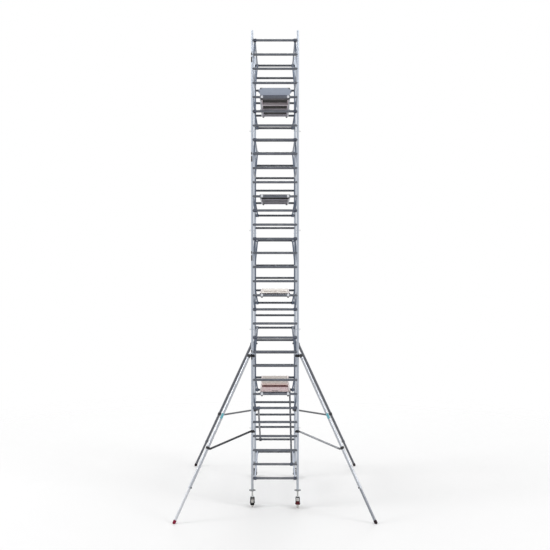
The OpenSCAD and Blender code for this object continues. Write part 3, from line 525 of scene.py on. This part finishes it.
toe.paint(
    base=toe.mix(rubbed_edge, paint, shade(190, 186, 176)),
    roughness=toe.ramp(worn, 0.3, 0.7, 0.42, 0.6),
)
toe.relief(brushed, 0.0004)
dress(toe, "toe_boards")
plate_rivets = [
    (sx * (PLATE_X + d), sy * (RAIL_HALF - PLATE_IN), TOE_Z + TOE_H + PLATE_TOP)
    for sx in (-1, 1) for sy in (-1, 1) for d in (-RIVET_STEP, RIVET_STEP)
]
fit(surface("toe_board_rivets", upright_copies(head, plate_rivets)), "tower", zinc)
bolt_places = [
    (sx * x, sy * RAIL_HALF, TOE_Z + h) for sx in (-1, 1) for sy in (-1, 1) for x, h in BOLTS
]
bolt_turns = [((1, 0, 0), (0, 0, 1), (0, math.copysign(1, p[1]), 0)) for p in bolt_places]
bolts = spread(dome(0.012, 0.006), bolt_places, bolt_turns)
fit(surface("toe_board_bolts", bolts), "tower", trigger)

# Guard frames: bowed uprights with a hand rail and a knee rail welded between them, and dark
# moulded claws in ring-shaped casings that snap over the rungs of both stacks.
GUARD_R, GUARD_X, GUARD_Y, BOW = 0.017, 0.398, 1.202, 0.042
HAND, KNEE, LOW_CLAW, CLAW_W, CLAW_HIGH = 1.12, 0.56, -0.28, 0.034, 0.04
CASING_IN, CASING_OUT, CASING_END, CASING_DEEP = RUNG_R + 0.0008, 0.035, 0.0235, 0.030


def clawed_tube(name, black, dull, lighter_tone, paler_share=None):
    """Drawn tube along Y from the dull tone to the lighter one, with the share black(finish) of it moulded
    in dark plastic. The share that the last argument gives of the tube is as pale as the posts."""
    made = Finish(name)
    claw = black(made)
    lines = made.grain((600, 6, 600), 3.0)
    handled = made.grain((10, 5, 10), 6.0)
    silver = made.mix(lines, dull, lighter_tone)
    silver = made.mix(made.ramp(handled, 0.52, 0.8, 0.0, 0.4), silver, shade(84, 88, 96))
    if paler_share:
        silver = made.mix(paler_share(made), silver, made.mix(lines, shade(160, 168, 184), shade(188, 196, 210)))
    dark = made.mix(made.ramp(handled, 0.45, 0.75), shade(62, 69, 84), shade(94, 101, 116))
    made.paint(
        base=made.mix(claw, silver, dark),
        metallic=made.sum("SUBTRACT", 1.0, claw),
        roughness=made.pick(claw, made.ramp(handled, 0.3, 0.7, 0.28, 0.46), 0.5),
    )
    pebbles = made.grain((700, 700, 700), 2.0)
    made.relief(made.pick(claw, made.ramp(lines, 0.3, 0.7, 0.0, 0.2), pebbles), 0.0004)
    return made


def guard_claw(made):
    """Claws lie past the guard uprights' own surface, towards the rungs, at the heights of their rungs."""
    u = made.sum("SUBTRACT", made.sum("ABSOLUTE", made.x), GUARD_X)
    v = made.sum("SUBTRACT", made.sum("ABSOLUTE", made.y), GUARD_Y)
    past = made.over(made.off_axis(u, v), GUARD_R + WELD_GAP / 2)
    apart = [made.from_level(PLATFORM_Z + h, FRAME_STEP) for h in (HAND, LOW_CLAW)]
    apart = [made.sum("ABSOLUTE", d) for d in apart]
    at_rung = made.over(CLAW_HIGH, made.sum("MINIMUM", *apart))
    return made.both(at_rung, made.both(past, made.over(made.sum("ABSOLUTE", made.y), GUARD_Y)))


guard = clawed_tube("guard_tube_and_claws", guard_claw, shade(88, 97, 112), shade(122, 131, 146))
dress(guard, "guard_frames_left", "guard_frames_right")
RAILS = ((GUARD_X, HAND), (GUARD_X + BOW, KNEE))
rail_places = over_levels([
    (s * x, e * GUARD_Y, h) for s in (-1, 1) for e in (-1, 1) for x, h in RAILS
])
to_rail = np.array([((0, -math.copysign(1, p[1]), 0), (1, 0, 0), (0, 0, 1)) for p in rail_places])
beads = spread(saddle_weld(GUARD_R + 0.0004, GUARD_R + 0.0004, 0.0024), rail_places, to_rail)
fit(surface("guard_welds", beads), "tower", weld)
claw_places = over_levels([
    (s * GUARD_X, e * HALF_L, h) for s in (-1, 1) for e in (-1, 1) for h in (HAND, LOW_CLAW)
])
latches("guard_latches", CLAW_W, claw_places)


def lathe(outline, axis):
    """A closed outline of (distance from the axis, place along it) turned about the axis 0, 1 or 2."""
    r, h = np.asarray(outline, float).T
    a = np.linspace(0, 2 * math.pi, 49)
    ring = np.stack([np.outer(h, np.ones_like(a)), np.outer(r, np.cos(a)), np.outer(r, np.sin(a))], -1)
    return np.roll(ring, axis, -1)


def cone_ring(r0, r1, s0, s1):
    """Closed outline of a thin sleeve between two radii and two places along the tube, with eased rims."""
    e = min((s1 - s0) / 4, (r1 - r0) / 2)
    return [(r0, s0), (r1 - e, s0), (r1, s0 + e), (r1, s1 - e), (r1 - e, s1), (r0, s1), (r0, s0)]


casing = moulded("moulded_claw_casing", shade(70, 78, 96), shade(104, 112, 128))


def claw_casings(name, width, places):
    """Moulded ring on each face of a claw, round the rung: thin towards the upright, thick on the other."""
    near = width / 2 + 0.0002
    spans = ((near, CASING_END), (-CASING_DEEP, -near))
    rings = [lathe(cone_ring(CASING_IN, CASING_OUT, *span), 0) for span in spans]
    turns = [np.diag((math.copysign(1, p[0]), 1, 1)) for p in places]
    fit(surface(name, *[spread(r, places, turns) for r in rings]), "tower", casing)


claw_casings("guard_claw_casings", CLAW_W, claw_places)

# Braces: two pale level tubes at the lowest rungs and two darker diagonals, with the same claws.
# Each is given by its X and the numbers of its front and rear rungs.
BRACES = ((-0.398, 1, 1), (0.398, 1, 1), (-0.33, 6, 2), (0.33, 2, 6))
BRACE_W, LEVEL_FROM = 0.039, 0.364


def brace_claw(made):
    """Claws lie past the plane where the tube ends."""
    return made.over(made.sum("ABSOLUTE", made.y), RAIL_HALF)


def level_brace(made):
    """The level braces lie further out than the diagonals."""
    return made.over(made.sum("ABSOLUTE", made.x), LEVEL_FROM)


brace = clawed_tube("brace_tube_and_claws", brace_claw, shade(84, 86, 92), shade(112, 114, 120), level_brace)
dress(brace, "braces")
brace_ends = [
    (x, e * HALF_L, FIRST_RUNG + RUNG_PITCH * (n - 1))
    for x, front, rear in BRACES for e, n in ((-1, front), (1, rear))
]
latches("brace_latches", BRACE_W, brace_ends)
claw_casings("brace_claw_casings", BRACE_W, brace_ends)

# Adjusting legs and nuts: zinc-plated threaded tubes with grease in the thread, and cast nuts
# under the uprights that carry the tower on them. Each corner has the signs of its X and Y, and
# the way its castor trails along Y.
CORNERS = {
    "front_left": (-1, -1, 1), "front_right": (1, -1, -1),
    "rear_left": (-1, 1, 1), "rear_right": (1, 1, -1),
}
THREAD_ROOT, THREAD_CREST = 0.0158, 0.0171
thread = Finish("greased_thread", metallic=1.0)
out = thread.from_post()
greasy = thread.grain((30, 30, 12), 5.0)
crest = thread.ramp(out, THREAD_ROOT, THREAD_CREST)
plated = thread.mix(greasy, shade(206, 208, 209), shade(232, 234, 234))
thread.paint(
    base=thread.mix(crest, shade(176, 174, 170), plated),
    roughness=thread.ramp(greasy, 0.3, 0.7, 0.24, 0.44),
)
thread.relief(greasy, 0.0004)
casting = Finish("plated_casting", metallic=1.0)
sand = casting.grain((320, 320, 320), 3.0)
blotch = casting.grain((28, 28, 28), 5.0)
casting.paint(
    base=casting.mix(blotch, shade(128, 131, 134), shade(164, 166, 167)),
    roughness=casting.ramp(blotch, 0.3, 0.7, 0.38, 0.6),
)
casting.relief(sand, 0.0008)
dress(thread, *[f"leg_{c}" for c in CORNERS])
dress(casting, *[f"leg_nut_{c}" for c in CORNERS])

# Castors: dark coated cast forks with a ball race and a plated axle bolt, light grey moulded
# wheels with ribs between hub and rim, and red brake pedals with a ribbed tread. The rear wheels
# and pedals are painted dark as shade.
TRAIL, AXLE_Z = 0.042, 0.09
FORK_X, HUB_R, RIM_R, TREAD_R = 0.042, 0.022, 0.0815, 0.0845
PEDAL_OUT, PEDAL_ANGLE, PEDAL_TILT = 0.107, math.radians(34), math.radians(45)
coated = Finish("dark_coated_casting", specular=0.15)
speckle = coated.grain((900, 900, 900), 2.0)
chips = coated.grain((34, 34, 34), 7.0)
side = coated.sum("ABSOLUTE", coated.sum("SUBTRACT", coated.sum("ABSOLUTE", coated.x), HALF_W))
bolt = coated.over(side, FORK_X + WELD_GAP / 2)
chipped = coated.ramp(chips, 0.66, 0.7)
coat = coated.mix(speckle, shade(8, 8, 9), shade(20, 20, 22))
coat = coated.mix(chipped, coat, shade(48, 47, 46))
coated.paint(
    base=coated.mix(bolt, coat, shade(120, 122, 124)),
    metallic=coated.sum("MAXIMUM", bolt, chipped),
    roughness=coated.ramp(chips, 0.3, 0.7, 0.36, 0.52),
)
coated.relief(speckle, 0.0003)


def wheel_rib(inner, outer, low, high, thick):
    """Rib of a wheel: a quadrilateral in the plane of radius and axle with eased edges, thickened.
    Local X runs outwards from the axle and Z along it."""
    corners = np.array([(inner, low), (outer, low), (outer, high), (inner, high - 0.002), (inner, low)])
    middle = np.broadcast_to(corners[:4].mean(0), corners.shape)
    eased = middle + (corners - middle) * 0.95
    half = thick / 2
    rows = [(-half, middle), (-half, eased), (-half * 0.7, corners)]
    rows += [(half * 0.7, corners), (half, eased), (half, middle)]
    return np.stack([np.stack([c[:, 0], np.full(len(c), t), c[:, 1]], 1) for t, c in rows])


RIB_COUNT = 10
rib_form = wheel_rib(0.0275, 0.0665, 0.0075, 0.0165, 0.0045)
spokes = 2 * math.pi / RIB_COUNT * np.arange(RIB_COUNT)
race = [
    (0.0318, 0.202), (0.0345, 0.2025), (0.0352, 0.2045),
    (0.0352, 0.2125), (0.0345, 0.2145), (0.0318, 0.215), (0.0318, 0.202),
]
for c, (sx, sy, back) in CORNERS.items():
    post = np.array((sx * HALF_W, sy * HALF_L, 0))
    hub = post + (0, back * TRAIL, AXLE_Z)
    dress(coated, f"castor_fork_{c}")
    balls = upright_copies(lathe(race, 2), [post])
    fit(surface(f"castor_race_{c}", balls), f"castor_{c}", zinc)

    wheel = Finish(f"moulded_wheel_{c}", metallic=0.0)
    u, v = wheel.sum("SUBTRACT", wheel.y, float(hub[1])), wheel.sum("SUBTRACT", wheel.z, AXLE_Z)
    out = wheel.off_axis(u, v)
    dust = wheel.grain((26, 26, 26), 6.0)
    tread = wheel.ramp(out, RIM_R, TREAD_R)
    # Rear wheels are painted darker greys as shade; front wheels go from a clean grey to a dusty one.
    lighter_tone = shade(214, 212, 208) if sy < 0 else shade(112, 112, 114)
    shade_and_dirt = shade(180, 178, 174) if sy < 0 else shade(78, 78, 80)
    grey = wheel.mix(dust, shade_and_dirt, lighter_tone)
    rolled = wheel.mix(wheel.ramp(dust, 0.35, 0.65), shade_and_dirt, grey)
    hub_dark = wheel.ramp(out, HUB_R, HUB_R + 0.004, 1.0, 0.0)
    body = wheel.mix(hub_dark, wheel.mix(tread, grey, rolled), shade(64, 64, 66))
    wheel.paint(base=body, roughness=wheel.ramp(dust, 0.3, 0.7, 0.42, 0.62))
    wheel.relief(wheel.grain((600, 600, 600), 2.0), 0.0003)
    dress(wheel, f"castor_wheel_{c}")
    turns = [
        ((0, math.cos(a), math.sin(a)), (0, -math.sin(a), math.cos(a)), (s, 0, 0))
        for a in spokes for s in (-1, 1)
    ]
    ribs = spread(rib_form, [hub] * len(turns), turns)
    fit(surface(f"wheel_ribs_{c}", ribs), f"wheel_{c}", wheel)

red = Finish("red_coated_plate", metallic=0.0, specular=0.3)
scraped = red.grain((30, 30, 30), 7.0)
red_coat_and_rear_shade = red.mix(red.grain((600, 600, 600), 2.0), shade(66, 4, 14), shade(88, 10, 22))
# Rear pedals are painted near black, as painted shade.
red_coat_and_rear_shade = red.mix(red.over(red.y, 0.0), red_coat_and_rear_shade, shade(26, 12, 16))
red.paint(
    base=red.mix(red.ramp(scraped, 0.64, 0.7), red_coat_and_rear_shade, shade(84, 56, 54)),
    roughness=red.ramp(scraped, 0.3, 0.7, 0.32, 0.5),
)
red.relief(scraped, 0.0004)
CLEAT_AT, CLEAT_HALF, CLEAT_OUT = (0.030, 0.040, 0.050, 0.060), 0.0022, 0.0035
cleats = [
    bar((d - CLEAT_HALF, CLEAT_OUT), (d + CLEAT_HALF, CLEAT_OUT), 0.0036, -0.034, 0.034) for d in CLEAT_AT
]
for c, (sx, sy, back) in CORNERS.items():
    dress(red, f"brake_pedal_{c}")
    tip = np.array((0, back * math.cos(PEDAL_TILT), -math.sin(PEDAL_TILT)))
    face = np.array((0, back * math.sin(PEDAL_TILT), math.cos(PEDAL_TILT)))
    pin_y, pin_z = TRAIL + PEDAL_OUT * math.cos(PEDAL_ANGLE), AXLE_Z + PEDAL_OUT * math.sin(PEDAL_ANGLE)
    knee = np.array((sx * HALF_W, sy * HALF_L + back * pin_y, pin_z))
    grids = [spread(g, [knee], [((1, 0, 0), tip, face)]) for g in cleats]
    fit(surface(f"pedal_cleats_{c}", *grids), f"pedal_{c}", red)

# Stabilisers: telescopic aluminium tubes with black couplers on the uprights, a cast collar and
# an arm, on rubber feet. A plain teal patch lies on the outward face of each outer tube. The front
# left foot is newer and red. The rear tubes, legs and arms are painted darker as shade; at the front
# the left arm and right leg are painted darker as shade, and the left leg and right arm paler as light.
STAB_TOP, STAB_OFFSET, STAB_ANGLE, STAB_R = 3.02, 0.084, math.radians(38.5), 0.029
REACH, FOOT_Z, FOOT_TOP, FOOT_R = 1.832, 0.022, 0.045, 0.0301
RING_STARTS, RING_WIDE = (0.003, 0.013, 0.023), 0.006
STAB_RUN, STAB_DROP = REACH - STAB_OFFSET, STAB_TOP - FOOT_Z
STAB_LEN = math.hypot(STAB_RUN, STAB_DROP)
ARM_TOP, ARM_AT, ARM_R, ARM_X0 = 1.517, 1.964, 0.020, 0.051
ARM_SIDE = STAB_R + 0.008 + 0.015 + 0.003
PATCH_AT, PATCH_LEN, COUPLER_OUT, KNOB_FROM = 1.30, 0.11, 0.062, 0.0055
teal = Finish("plain_teal_patch", metallic=0.0)
faded = teal.grain((40, 40, 18), 5.0)
teal.paint(
    base=teal.mix(faded, shade(78, 156, 170), shade(112, 182, 192)),
    roughness=teal.ramp(faded, 0.3, 0.7, 0.34, 0.5),
)
teal.relief(faded, 0.0002)
rubber = Finish("dark_red_rubber", metallic=0.0, specular=0.25)
scuff = rubber.grain((50, 50, 50), 6.0)
new_foot = rubber.both(rubber.over(0.0, rubber.x), rubber.over(0.0, rubber.y))
red_foot = rubber.mix(scuff, shade(112, 10, 40), shade(142, 26, 60))
black_foot = rubber.mix(scuff, shade(26, 14, 18), shade(46, 28, 32))
floor_dust = rubber.both(rubber.ramp(rubber.z, 0.0, 0.012, 0.7, 0.0), rubber.ramp(scuff, 0.35, 0.65))
rubber.paint(
    base=rubber.mix(floor_dust, rubber.mix(new_foot, black_foot, red_foot), shade(110, 100, 96)),
    roughness=rubber.ramp(scuff, 0.3, 0.7, 0.58, 0.8),
)
rubber.relief(rubber.grain((400, 400, 400), 3.0), 0.0005)
# Rear tubes, legs and arms are painted darker as shade. At the front, the left arm and the right leg are
# painted darker as shade, and the left leg and the right arm paler as light.
FRONT_TUBE = shade(172, 176, 183), shade(202, 205, 211)
SHADED_REAR_TUBE = shade(92, 94, 100), shade(122, 124, 130)
LEG_LIGHT_AND_SHADE = {
    "front_left": (shade(196, 199, 204), shade(222, 224, 228)),
    "front_right": (shade(132, 135, 142), shade(162, 165, 172)),
}
SHADED_REAR_ARM = shade(92, 93, 96), shade(124, 125, 128)
ARM_LIGHT_AND_SHADE = {
    "front_left": (shade(50, 51, 54), shade(74, 75, 78)),
    "front_right": (shade(126, 128, 132), shade(158, 160, 164)),
}
ARM_CAST = shade(74, 76, 80), shade(104, 106, 110)


def slanted_metal(name, start, direction, radius, dull, lighter_tone, cast_dull, cast_clean):
    """Tube along a slanted line from the dull tone to the lighter one, painted greyer underneath as shade;
    what stands past its radius is cast, and black by the post and where it stands out as a knob."""
    made = Finish(name)
    offset = made.node("ShaderNodeVectorMath", {0: made.place, 1: tuple(start)})
    offset.operation = "SUBTRACT"
    across = made.node("ShaderNodeVectorMath", {0: offset.outputs[0], 1: tuple(direction)})
    across.operation = "CROSS_PRODUCT"
    length = made.node("ShaderNodeVectorMath", {0: across.outputs[0]})
    length.operation = "LENGTH"
    fitting = made.over(length.outputs["Value"], radius + WELD_GAP / 2)
    knob = made.over(length.outputs["Value"], radius + KNOB_FROM)
    black = made.both(fitting, made.sum("MAXIMUM", knob, made.over(COUPLER_OUT, made.from_post())))
    handled = made.grain((8, 8, 5), 6.0)
    fine = made.grain((420, 420, 60), 3.0)
    silver = made.mix(fine, dull, lighter_tone)
    silver = made.mix(made.ramp(handled, 0.52, 0.8, 0.0, 0.3), silver, shade(112, 114, 120))
    # Faces turned down are painted greyer, as painted shade.
    silver = made.mix(made.ramp(made.facing[2], -0.15, -0.45, 0.0, 0.7), silver, shade(104, 106, 112))
    silver = made.mix(fitting, silver, made.mix(handled, cast_dull, cast_clean))
    dark = made.mix(made.ramp(handled, 0.45, 0.75), shade(24, 24, 27), shade(46, 46, 50))
    made.paint(
        base=made.mix(black, silver, dark),
        metallic=made.sum("SUBTRACT", 1.0, black),
        roughness=made.pick(black, made.ramp(handled, 0.3, 0.7, 0.26, 0.42), 0.5),
    )
    sand = made.grain((500, 500, 500), 2.0)
    made.relief(made.pick(black, made.ramp(fine, 0.3, 0.7, 0.0, 0.2), sand), 0.0005)
    return made


for c, (sx, sy, _) in CORNERS.items():
    post = np.array((sx * HALF_W, sy * HALF_L, 0))
    away = np.array((sx * math.cos(STAB_ANGLE), sy * math.sin(STAB_ANGLE), 0))
    top = post + away * STAB_OFFSET + (0, 0, STAB_TOP)
    down = (away * STAB_RUN - np.array((0, 0, STAB_DROP))) / STAB_LEN
    across = np.cross(down, (0, 0, 1)) / np.linalg.norm(np.cross(down, (0, 0, 1)))
    under = np.cross(down, across)
    under = under if under[2] < 0 else -under
    clamp = top + down * ARM_AT + under * ARM_SIDE
    knuckle = post + away * ARM_X0 + (0, 0, ARM_TOP)
    arm = (clamp - knuckle) / np.linalg.norm(clamp - knuckle)
    tube_tones = FRONT_TUBE if sy < 0 else SHADED_REAR_TUBE
    leg_tones = LEG_LIGHT_AND_SHADE.get(c, tube_tones)
    for part, start, along, radius, tones in (
        ("tube", top, down, STAB_R, (*tube_tones, *tube_tones)),
        ("leg", top, down, STAB_R, (*leg_tones, *leg_tones)),
        ("arm", knuckle, arm, ARM_R, (*ARM_LIGHT_AND_SHADE.get(c, SHADED_REAR_ARM), *ARM_CAST)),
    ):
        finish = slanted_metal(f"stabiliser_{part}_metal_{c}", start, along, radius, *tones)
        dress(finish, f"stabiliser_{part}_{c}")
    dress(rubber, f"stabiliser_foot_{c}")
    axes = [(across, under, down)]
    outward = math.atan2(sy * under[1], sy * across[1])
    patch = wrapped_strip(STAB_R + 0.00005, outward, 0.9, PATCH_LEN, 0.0005) + (0, 0, PATCH_AT)
    sheets = [spread(g, [top], axes) for g in patch]
    fit(surface(f"stabiliser_patch_{c}", *sheets), f"stabiliser_{c}", teal)
    starts = [STAB_LEN - FOOT_TOP + d for d in RING_STARTS]
    outlines = [cone_ring(FOOT_R - 0.0002, FOOT_R + 0.0016, d, d + RING_WIDE) for d in starts]
    rings = [spread(lathe(o, 2), [top], axes) for o in outlines]
    fit(surface(f"foot_rings_{c}", *rings), f"stabiliser_leg_{c}", rubber)

# The studio: a pale floor that fades into a white surround, dimmer in front of the tower, three
# wide soft lights that lay long faint shadows, and a camera in front that dips slightly.
FLOOR_HALF, FADE_FROM, FADE_TO = 60.0, 5.0, 14.0
SURROUND, FRONT_DIM = 0.70, 0.7
CAMERA_PLACE, CAMERA_DIP, LENS, SHIFT_Y = (0.0, -19.879, 5.05), 0.01408, 61.517, -0.01517

t = np.linspace(-FLOOR_HALF, FLOOR_HALF, 3)
fx, fy = np.meshgrid(t, t, indexing="ij")
floor = surface("floor", np.stack([fx, fy, 0 * fx], -1)[None])
if floor.data.polygons[0].normal.z < 0:
    floor.data.flip_normals()
pale = Finish("pale_floor", metallic=0.0, roughness=0.9, specular=0.0)
tone = pale.grain((0.6, 0.6, 0.6), 3.0)
pale.paint(base=pale.mix(tone, (0.955, 0.955, 0.955, 1), (0.97, 0.97, 0.97, 1)))
far = pale.ramp(pale.off_axis(pale.x, pale.y), FADE_FROM, FADE_TO)
ray = pale.tree.nodes.new("ShaderNodeLightPath")
seen = pale.sum("MAXIMUM", ray.outputs["Is Camera Ray"], ray.outputs["Is Glossy Ray"])
clear = pale.tree.nodes.new("ShaderNodeBsdfTransparent")
blend = pale.tree.nodes.new("ShaderNodeMixShader")
pale.feed(blend.inputs[0], pale.both(far, seen))
pale.feed(blend.inputs[1], pale.shader.outputs[0])
pale.feed(blend.inputs[2], clear.outputs[0])
pale.feed(pale.tree.nodes["Material Output"].inputs["Surface"], blend.outputs[0])
floor.data.materials.append(pale.material)

world = bpy.data.worlds.new("white_surround")
bpy.context.scene.world = world
world.use_nodes = True
sky = world.node_tree
ray = sky.nodes.new("ShaderNodeLightPath").outputs
way = sky.nodes.new("ShaderNodeSeparateXYZ")
sky.links.new(sky.nodes.new("ShaderNodeTexCoord").outputs["Generated"], way.inputs[0])


def sky_ramp(value, low, high, first, last):
    """A straight ramp in the surround, from first at low to last at high; the ends may be outputs."""
    made = sky.nodes.new("ShaderNodeMapRange")
    for socket, setting in zip(made.inputs, (value, low, high, first, last)):
        if isinstance(setting, bpy.types.NodeSocket):
            sky.links.new(setting, socket)
        else:
            socket.default_value = setting
    return made.outputs[0]


mirrored = sky_ramp(way.outputs[1], -0.95, -0.2, FRONT_DIM, 1.0)
light = sky_ramp(ray["Is Glossy Ray"], 0.0, 1.0, SURROUND, mirrored)
light = sky_ramp(ray["Is Camera Ray"], 0.0, 1.0, light, 1.0)
sky.links.new(light, sky.nodes["Background"].inputs["Strength"])
sky.nodes["Background"].inputs["Color"].default_value = (1.0, 1.0, 1.0, 1.0)


def soft_light(name, place, aim, size, power):
    """A square area light that faces a point."""
    data = bpy.data.lights.new(name, "AREA")
    data.size, data.energy = size, power
    lamp = bpy.data.objects.new(name, data)
    bpy.context.scene.collection.objects.link(lamp)
    lamp.location = place
    gaze = np.asarray(aim, float) - np.asarray(place, float)
    yaw, pitch = math.atan2(gaze[1], gaze[0]), math.atan2(gaze[2], math.hypot(gaze[0], gaze[1]))
    lamp.rotation_euler = (pitch + math.pi / 2, 0, yaw - math.pi / 2)


soft_light("left_light", (-20, -5, 18), (0, 0, 2), 8.0, 1500)
soft_light("right_light", (19, -13, 18), (0, 0, 2), 8.0, 1500)
soft_light("rear_light", (2, 22, 19), (0, 0, 2), 8.0, 1300)

view = bpy.data.cameras.new("front_camera")
view.lens, view.sensor_width, view.shift_y = LENS, 36.0, SHIFT_Y
view.clip_end = 200
camera = bpy.data.objects.new("front_camera", view)
bpy.context.scene.collection.objects.link(camera)
camera.location = CAMERA_PLACE
camera.rotation_euler = (math.pi / 2 - CAMERA_DIP, 0, 0)
bpy.context.scene.camera = camera
bpy.context.scene.view_settings.view_transform = "Standard"
